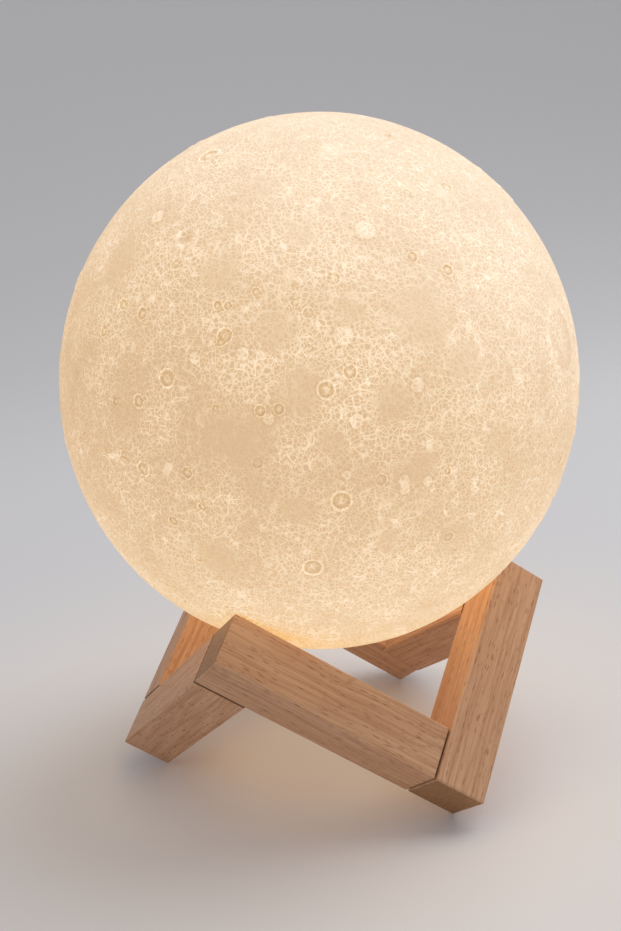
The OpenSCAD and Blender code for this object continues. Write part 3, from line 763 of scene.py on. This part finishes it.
class MOONLAMP_OT_stand(bpy.types.Operator):
    """Gives the six bars planed and oiled beech with its grain along the bar, and the dowels turned beech"""

    bl_idname = "moonlamp.stand"
    bl_label = "Beech stand"

    def execute(self, context):
        settings = context.scene.moonlamp_beech
        for count, name in enumerate(BARS):
            tilt = BAR_TILT if count % 2 == 0 else -BAR_TILT
            turn = Euler((math.radians(45), math.radians(-tilt), math.radians(RING_TURN + 60 * count + 120)))
            if name == LEANING_BAR:
                turn = (turn.to_matrix() @ Matrix.Rotation(-LEAN, 3, "Y")).to_euler()
            joint = NO_JOINT if name in (LONG_BAR, LEANING_BAR) else BAR_LENGTH / 2
            wood = self.beech(settings, "planed_beech_" + name, middle(name), turn, count * 0.37, joint)
            dress(name, wood)
        upright = Euler((0, 0, 0))
        wood = self.beech(settings, "turned_beech_dowels", middle("stand_dowels"), upright, 5.1, NO_JOINT)
        dress("stand_dowels", wood)
        return {"FINISHED"}

    @staticmethod
    def growth(tree, pulled, settings):
        """Growth lines, drawn out along the grain."""
        stretched = node(
            tree, "ShaderNodeVectorMath", {0: pulled, 1: (0.03, 1.0, 1.0)}, operation="MULTIPLY"
        ).outputs[0]
        look = {"Vector": stretched, "Scale": 1 / settings.growth_width, "Detail": 5.0, "Roughness": 0.65}
        return node(tree, "ShaderNodeTexNoise", look).outputs[0]

    @staticmethod
    def flecks(tree, pulled, is_end, settings):
        """Short dark ray flecks of many sizes, drawn out along the grain and nearly gone on the ends."""
        fleck_space = node(
            tree, "ShaderNodeVectorMath", {0: pulled, 1: (0.10, 1.0, 1.0)}, operation="MULTIPLY"
        ).outputs[0]
        cells = node(
            tree,
            "ShaderNodeTexVoronoi",
            {"Vector": fleck_space, "Scale": 1 / (settings.fleck_length * FLECK_CELL), "Randomness": 1.0},
            feature="F1",
        )
        chance = node(tree, "ShaderNodeSeparateXYZ", {0: cells.outputs["Color"]}).outputs["X"]
        size = node(tree, "ShaderNodeMapRange", {"Value": chance, 1: 0.0, 2: 1.0, 3: 0.03, 4: 0.37})
        within = node(
            tree, "ShaderNodeMath", {0: size.outputs[0], 1: cells.outputs["Distance"]}, operation="SUBTRACT"
        )
        fleck = node(
            tree, "ShaderNodeMapRange", {"Value": within.outputs[0], 1: 0.0, 2: 0.09, 3: 0.0, 4: 0.75}
        )
        keep = node(tree, "ShaderNodeMapRange", {"Value": is_end, 1: 0.0, 2: 1.0, 3: 1.0, 4: 0.15})
        return node(
            tree, "ShaderNodeMath", {0: fleck.outputs[0], 1: keep.outputs[0]}, operation="MULTIPLY"
        ).outputs[0]

    @staticmethod
    def end_grain(tree, pulled, settings):
        """The darker, unevenly drinking wood where a bar is cut across."""
        end_space = node(
            tree, "ShaderNodeVectorMath", {0: pulled, 1: (1.0, 1.0, 0.15)}, operation="MULTIPLY"
        ).outputs[0]
        cut_look = {"Vector": end_space, "Scale": 1 / (0.6 * MM), "Detail": 3.0, "Roughness": 0.7}
        cut = node(tree, "ShaderNodeTexNoise", cut_look)
        tone = node(tree, "ShaderNodeMapRange", {"Value": cut.outputs[0], 1: 0.3, 2: 0.7, 3: 0.68, 4: 1.2})
        return node(
            tree,
            "ShaderNodeVectorMath",
            {0: tuple(settings.end_colour), 3: tone.outputs[0]},
            operation="SCALE",
        ).outputs[0]

    def beech(self, settings, name, centre, turn, offset, joint):
        """Planed and oiled beech: close pinkish wood, faint growth lines, short dark flecks, darker ends."""
        material, tree = start_material(name)
        place = node(tree, "ShaderNodeTexCoord")
        along = node(
            tree,
            "ShaderNodeMapping",
            {"Vector": place.outputs["Object"], "Location": centre, "Rotation": turn},
            vector_type="TEXTURE",
        ).outputs[0]
        # Each bar is cut from another place in the wood.
        own = node(
            tree, "ShaderNodeVectorMath", {0: along, 1: (offset, offset * 0.7, offset * 1.3)}, operation="ADD"
        ).outputs[0]
        facing = node(
            tree,
            "ShaderNodeMapping",
            {"Vector": place.outputs["Normal"], "Rotation": turn},
            vector_type="TEXTURE",
        )
        parts = node(tree, "ShaderNodeSeparateXYZ", {0: facing.outputs[0]})
        end_on = node(tree, "ShaderNodeMath", {0: parts.outputs["X"]}, operation="ABSOLUTE")
        is_end = node(
            tree, "ShaderNodeMapRange", {"Value": end_on.outputs[0], 1: 0.75, 2: 0.95, 3: 0.0, 4: 1.0}
        ).outputs[0]
        sway = node(tree, "ShaderNodeTexNoise", {"Vector": own, "Scale": 22.0, "Detail": 2.0})
        pulled = node(
            tree,
            "ShaderNodeVectorMath",
            {0: sway.outputs["Color"], 1: (0.0, 0.004, 0.004), 2: own},
            operation="MULTIPLY_ADD",
        ).outputs[0]
        growth = self.growth(tree, pulled, settings)
        tone = node(tree, "ShaderNodeMapRange", {"Value": growth, 1: 0.32, 2: 0.66, 3: 0.0, 4: 1.0})
        shade = self.mixed(tree, tone.outputs[0], rgba(settings.warm_colour), rgba(settings.pale_colour))
        flecks = self.flecks(tree, pulled, is_end, settings)
        shade = self.mixed(tree, flecks, shade, rgba(settings.fleck_colour))
        shade = self.mixed(tree, is_end, shade, self.end_grain(tree, pulled, settings))
        # A dark line 0.4 mm wide on the bar's end, beside the gap to its neighbour: painted shadow of the
        # joint.
        reach = node(tree, "ShaderNodeSeparateXYZ", {0: along}).outputs["X"]
        edge = {"Value": reach, 1: joint - JOINT_SHADOW_WIDTH, 2: joint - JOINT_SHADOW_WIDTH + JOINT_SHADOW_FADE, 3: 0.0, 4: 0.8}
        line = node(tree, "ShaderNodeMapRange", edge).outputs[0]
        shade = self.mixed(tree, line, shade, rgba(linear("#49290F")))
        fine_space = node(
            tree, "ShaderNodeVectorMath", {0: pulled, 1: (0.02, 1.0, 1.0)}, operation="MULTIPLY"
        ).outputs[0]
        # Pores of 0.1 mm, drawn 0.3 mm wide so that they show.
        pore_look = {"Vector": fine_space, "Scale": 1 / (0.3 * MM), "Detail": 2.0, "Roughness": 0.6}
        pores = node(tree, "ShaderNodeTexNoise", pore_look)
        relief = node(
            tree, "ShaderNodeMath", {0: flecks, 1: -0.6, 2: pores.outputs[0]}, operation="MULTIPLY_ADD"
        )
        bump_look = {"Strength": 0.35, "Distance": 0.1 * MM, "Height": relief.outputs[0]}
        bump = node(tree, "ShaderNodeBump", bump_look)
        gloss = node(tree, "ShaderNodeMapRange", {"Value": growth, 1: 0.3, 2: 0.7, 3: 0.62, 4: 0.5})
        end_material(
            tree,
            {
                "Base Color": shade,
                "Roughness": gloss.outputs[0],
                "IOR": 1.5,
                "Specular IOR Level": 0.35,
                "Normal": bump.outputs["Normal"],
            },
        )
        return material

    @staticmethod
    def mixed(tree, share, ground, over):
        """The colour over the ground, as far as the share says."""
        return node(tree, "ShaderNodeMix", {0: share, 6: ground, 7: over}, data_type="RGBA").outputs[2]


def moulded(name, shade, roughness, texture_mm, depth_mm, **extra):
    """Injection-moulded plastic: even colour, a fine spark-eroded texture and slightly uneven gloss."""
    material, tree = start_material(name)
    where = node(tree, "ShaderNodeTexCoord").outputs["Object"]
    grain_look = {"Vector": where, "Scale": 1 / (texture_mm * MM), "Detail": 2.0, "Roughness": 0.5}
    grain = node(tree, "ShaderNodeTexNoise", grain_look)
    flow = node(tree, "ShaderNodeTexNoise", {"Vector": where, "Scale": 60.0, "Detail": 2.0})
    tint = node(
        tree,
        "ShaderNodeMix",
        {0: flow.outputs[0], 6: rgba([part * 0.94 for part in shade]), 7: rgba(shade)},
        data_type="RGBA",
    )
    gloss_range = {"Value": flow.outputs[0], 1: 0.3, 2: 0.7, 3: roughness - 0.05, 4: roughness + 0.05}
    gloss = node(tree, "ShaderNodeMapRange", gloss_range)
    bump_look = {"Strength": 0.3, "Distance": depth_mm * MM, "Height": grain.outputs[0]}
    bump = node(tree, "ShaderNodeBump", bump_look)
    inputs = {
        "Base Color": tint.outputs[2],
        "Roughness": gloss.outputs[0],
        "IOR": 1.5,
        "Normal": bump.outputs["Normal"],
    }
    inputs.update(extra)
    end_material(tree, inputs)
    return material


def metal(name, shade, roughness, stretch):
    """Metal with fine tool marks, drawn along the axis that is stretched."""
    material, tree = start_material(name)
    where = node(tree, "ShaderNodeTexCoord").outputs["Object"]
    drawn = node(tree, "ShaderNodeVectorMath", {0: where, 1: stretch}, operation="MULTIPLY").outputs[0]
    # Marks of 0.05 mm, drawn 0.3 mm wide so that they show.
    mark_look = {"Vector": drawn, "Scale": 1 / (0.3 * MM), "Detail": 3.0, "Roughness": 0.6}
    marks = node(tree, "ShaderNodeTexNoise", mark_look)
    tint = node(
        tree,
        "ShaderNodeMix",
        {0: marks.outputs[0], 6: rgba([part * 0.82 for part in shade]), 7: rgba(shade)},
        data_type="RGBA",
    )
    gloss_range = {"Value": marks.outputs[0], 1: 0.3, 2: 0.7, 3: roughness - 0.07, 4: roughness + 0.09}
    gloss = node(tree, "ShaderNodeMapRange", gloss_range)
    bump_look = {"Strength": 0.2, "Distance": 0.05 * MM, "Height": marks.outputs[0]}
    bump = node(tree, "ShaderNodeBump", bump_look)
    end_material(
        tree,
        {
            "Base Color": tint.outputs[2],
            "Metallic": 1.0,
            "Roughness": gloss.outputs[0],
            "Normal": bump.outputs["Normal"],
        },
    )
    return material


def masked_board(name, mask, ink):
    """Fibreglass or aluminium board under solder mask: tracks stand proud of it as slightly paler lines."""
    material, tree = start_material(name)
    where = node(tree, "ShaderNodeTexCoord").outputs["Object"]
    tracks = node(
        tree,
        "ShaderNodeTexBrick",
        {
            "Vector": where,
            "Color1": rgba(mask),
            "Color2": rgba([part * 0.9 for part in mask]),
            "Mortar": rgba(ink),
            "Scale": 1.0,
            "Mortar Size": 0.12 * MM,
            "Brick Width": 3.4 * MM,
            "Row Height": 1.7 * MM,
        },
    )
    bump_look = {"Strength": 0.5, "Distance": 0.04 * MM, "Height": tracks.outputs["Fac"]}
    bump = node(tree, "ShaderNodeBump", bump_look)
    end_material(
        tree,
        {
            "Base Color": tracks.outputs["Color"],
            "Roughness": 0.32,
            "IOR": 1.55,
            "Normal": bump.outputs["Normal"],
        },
    )
    return material


class MOONLAMP_OT_base(bpy.types.Operator):
    """Gives the base in the mouth, its button, socket and works their plastics, metals and boards"""

    bl_idname = "moonlamp.base"
    bl_label = "Base and works"

    def execute(self, context):
        settings = context.scene.moonlamp_base
        # Moulded ABS: a fine matt texture that hides fingerprints.
        white = moulded("moulded_abs_white", list(settings.white_colour), 0.48, 0.35, 0.03)
        grey = moulded("moulded_abs_grey", list(settings.grey_colour), 0.42, 0.4, 0.03)
        # Moulded liquid crystal polymer: dark and slightly glossy.
        black = moulded("moulded_lcp_black", list(settings.black_colour), 0.38, 0.3, 0.02)
        # Moulded polycarbonate: clear, with a faint orange peel.
        glassy = {"Transmission Weight": 0.9, "IOR": 1.58}
        clear = moulded("moulded_polycarbonate_clear", linear("#F4F6F6"), 0.1, 1.2, 0.01, **glassy)
        # Closed-cell foam: matt, with open pores on the cut face.
        foam = moulded("cut_eva_foam", linear("#3A3B3E"), 0.9, 0.5, 0.12)
        # Silicone sleeve, extruded: smooth and a little waxy.
        sleeve = moulded("extruded_silicone_red", list(settings.wire_colour), 0.45, 0.8, 0.01)
        # Aluminium pouch foil: pressed flat, with soft dents.
        foil = metal("pressed_aluminium_foil", list(settings.foil_colour), 0.34, (1.0, 1.0, 1.0))
        # Stamped aluminium: dull, with roller marks along x.
        bare = metal("stamped_aluminium", linear("#C9CBCD"), 0.38, (0.15, 1.0, 1.0))
        # Plated steel: brighter, with draw marks upwards.
        steel = metal("plated_steel", linear("#B5B4B0"), 0.3, (1.0, 1.0, 0.2))
        # Fibreglass under green solder mask, and aluminium under white: glossy, with slightly paler tracks.
        board = masked_board("masked_fibreglass_green", list(settings.board_colour), linear("#2C8450"))
        lamp_board = masked_board("masked_aluminium_white", linear("#EDEEEC"), linear("#F6F6F4"))
        # Phosphor potted in silicone: yellow, and lit.
        lit = {"Emission Color": rgba(linear("#FFD9A0")), "Emission Strength": 1.0}
        phosphor = moulded("potted_phosphor_yellow", linear("#E8C84A"), 0.35, 0.2, 0.02, **lit)
        dressed = {
            white: ["base_cup", "base_cover", "light_post"],
            grey: ["button_cap"],
            black: ["board_chips", "tact_switch", "socket_tongue", "switch_stem"],
            clear: ["light_pipe"],
            foam: ["battery_pad"],
            sleeve: ["battery_leads", "lamp_leads"],
            foil: ["battery_cell"],
            bare: ["heat_spreader"],
            steel: ["cover_screws", "board_screws", "post_screws", "socket_shell"],
            board: ["control_board"],
            lamp_board: ["lamp_board"],
            phosphor: ["lamp_leds", "charge_led"],
            inner_material(): ["mouth_collar"],
        }
        for material, names in dressed.items():
            for name in names:
                dress(name, material)
        return {"FINISHED"}


class MOONLAMP_OT_stage(bpy.types.Operator):
    """Sets up the pale floor that sweeps up behind the lamp, the soft lamps and the camera"""

    bl_idname = "moonlamp.stage"
    bl_label = "Stage"

    def execute(self, context):
        settings = context.scene.moonlamp_stage
        self.floor(settings)
        self.lights(context, settings)
        self.camera(context, settings)
        return {"FINISHED"}

    @staticmethod
    def floor(settings):
        """The floor, bent up far behind the lamp."""
        bm = bmesh.new()
        edge = bm.edges.new([bm.verts.new((x, FLOOR_FRONT, 0)) for x in (-FLOOR_HALF, FLOOR_HALF)])
        line = [(FLOOR_BACK, 0.0)]
        for i in range(1, FLOOR_STEPS + 1):
            angle = math.radians(90 * i / FLOOR_STEPS)
            line.append((FLOOR_BACK + FLOOR_BEND * math.sin(angle), FLOOR_BEND * (1 - math.cos(angle))))
        line.append((FLOOR_BACK + FLOOR_BEND, FLOOR_TOP))
        for y, z in line:
            made = bmesh.ops.extrude_edge_only(bm, edges=[edge])["geom"]
            edge = next(e for e in made if isinstance(e, bmesh.types.BMEdge))
            for vert in edge.verts:
                vert.co = (vert.co.x, y, z)
        bmesh.ops.recalc_face_normals(bm, faces=bm.faces[:])
        if bm.faces[0].normal.z < 0:
            bmesh.ops.reverse_faces(bm, faces=bm.faces[:])
        for face in bm.faces:
            face.smooth = True
        mesh = bpy.data.meshes.new("stage_floor")
        bm.to_mesh(mesh)
        bm.free()
        sheet = bpy.data.objects.new("stage_floor", mesh)
        bpy.context.scene.collection.objects.link(sheet)
        # Painted board: matt. It is paler near the lamp than far off, as painted light under the lamp.
        material, tree = start_material("painted_board_pale")
        where = node(tree, "ShaderNodeTexCoord").outputs["Object"]
        reach = node(tree, "ShaderNodeVectorMath", {0: where}, operation="LENGTH")
        away = node(
            tree,
            "ShaderNodeMapRange",
            {"Value": reach.outputs["Value"], 1: 0.05, 2: 0.30, 3: 0.0, 4: 1.0},
            interpolation_type="SMOOTHSTEP",
        )
        shade = node(
            tree,
            "ShaderNodeMix",
            {0: away.outputs[0], 6: rgba(settings.near_painted_light_colour), 7: rgba(settings.far_colour)},
            data_type="RGBA",
        )
        end_material(tree, {"Base Color": shade.outputs[2], "Roughness": 0.75, "Specular IOR Level": 0.2})
        mesh.materials.append(material)

    @staticmethod
    def lights(context, settings):
        """Even light from all round and one large soft lamp above, to the right."""
        world = bpy.data.worlds.new("stage_world")
        context.scene.world = world
        world.use_nodes = True
        world.node_tree.nodes.clear()
        light = node(
            world.node_tree, "ShaderNodeBackground", {"Color": (1.0, 1.0, 1.0, 1.0), "Strength": settings.sky}
        )
        node(world.node_tree, "ShaderNodeOutputWorld", {"Surface": light.outputs[0]})
        lamp = bpy.data.lights.new("stage_key", "AREA")
        lamp.shape = "DISK"
        lamp.size = KEY_WIDTH
        lamp.energy = settings.key
        holder = bpy.data.objects.new("stage_key", lamp)
        context.scene.collection.objects.link(holder)
        holder.location = KEY_PLACE
        holder.rotation_euler = (Vector(KEY_AIM) - holder.location).to_track_quat("-Z", "Y").to_euler()
        # The moon's own light falls on the stand and the floor alone. Without soft falloff it is a true ball.
        ball = bpy.data.lights.new("stage_moonlight", "POINT")
        ball.shadow_soft_size = MOONLIGHT_RADIUS
        ball.energy = settings.glow
        ball.color = settings.glow_colour
        ball.use_soft_falloff = False
        shine = bpy.data.objects.new("stage_moonlight", ball)
        context.scene.collection.objects.link(shine)
        shine.location = (0, 0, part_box("moon_shell")[1].z - context.scene.moonlamp_moon.radius)
        shine.visible_camera = False
        lit = bpy.data.collections.new("stage_moonlit")
        for name in [*BARS, "stage_floor"]:
            lit.objects.link(bpy.data.objects[name])
        shine.light_linking.receiver_collection = lit

    @staticmethod
    def camera(context, settings):
        """The camera, set where the photograph was taken from."""
        a, e, r = (math.radians(v) for v in (settings.azimuth, settings.elevation, settings.roll))
        ahead = Vector((-math.sin(a) * math.cos(e), math.cos(a) * math.cos(e), -math.sin(e)))
        right = ahead.cross(Vector((0, 0, 1))).normalized()
        down = ahead.cross(right)
        across = right * math.cos(r) + down * math.sin(r)
        fall = down * math.cos(r) - right * math.sin(r)
        data = bpy.data.cameras.new("photo_camera")
        data.sensor_fit = "VERTICAL"
        data.sensor_height = 36.0
        data.lens = settings.lens
        data.shift_y = settings.shift
        data.clip_start, data.clip_end = 0.01, 50.0
        camera = bpy.data.objects.new("photo_camera", data)
        context.scene.collection.objects.link(camera)
        turn = Matrix((across, -fall, -ahead)).transposed().to_4x4()
        camera.matrix_world = Matrix.Translation(CAMERA_PLACE) @ turn
        context.scene.camera = camera


class MOONLAMP_PT_panel(bpy.types.Panel):
    """Lists the pieces of the moon lamp"""

    bl_idname = "MOONLAMP_PT_panel"
    bl_label = "Moon lamp"
    bl_space_type = "VIEW_3D"
    bl_region_type = "UI"
    bl_category = "Moon lamp"

    def draw(self, context):
        for operator in OPERATORS:
            self.layout.operator(operator.bl_idname)
        for name in GROUPS:
            group = getattr(context.scene, name)
            box = self.layout.box()
            for key in group.bl_rna.properties.keys():
                if key not in ("rna_type", "name"):
                    box.prop(group, key)


OPERATORS = (MOONLAMP_OT_moon, MOONLAMP_OT_stand, MOONLAMP_OT_base, MOONLAMP_OT_stage)
GROUPS = {
    "moonlamp_moon": MoonSettings,
    "moonlamp_beech": BeechSettings,
    "moonlamp_base": BaseSettings,
    "moonlamp_stage": StageSettings,
}


def register():
    for group in GROUPS.values():
        bpy.utils.register_class(group)
    for operator in OPERATORS:
        bpy.utils.register_class(operator)
    bpy.utils.register_class(MOONLAMP_PT_panel)
    for name, group in GROUPS.items():
        setattr(bpy.types.Scene, name, PointerProperty(type=group))


def unregister():
    for name in GROUPS:
        delattr(bpy.types.Scene, name)
    bpy.utils.unregister_class(MOONLAMP_PT_panel)
    for operator in reversed(OPERATORS):
        bpy.utils.unregister_class(operator)
    for group in reversed(list(GROUPS.values())):
        bpy.utils.unregister_class(group)


def main():
    """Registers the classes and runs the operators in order."""
    register()
    bpy.context.scene.view_settings.view_transform = "Standard"
    bpy.ops.moonlamp.moon()
    bpy.ops.moonlamp.stand()
    bpy.ops.moonlamp.base()
    bpy.ops.moonlamp.stage()


if __name__ == "__main__":
    main()
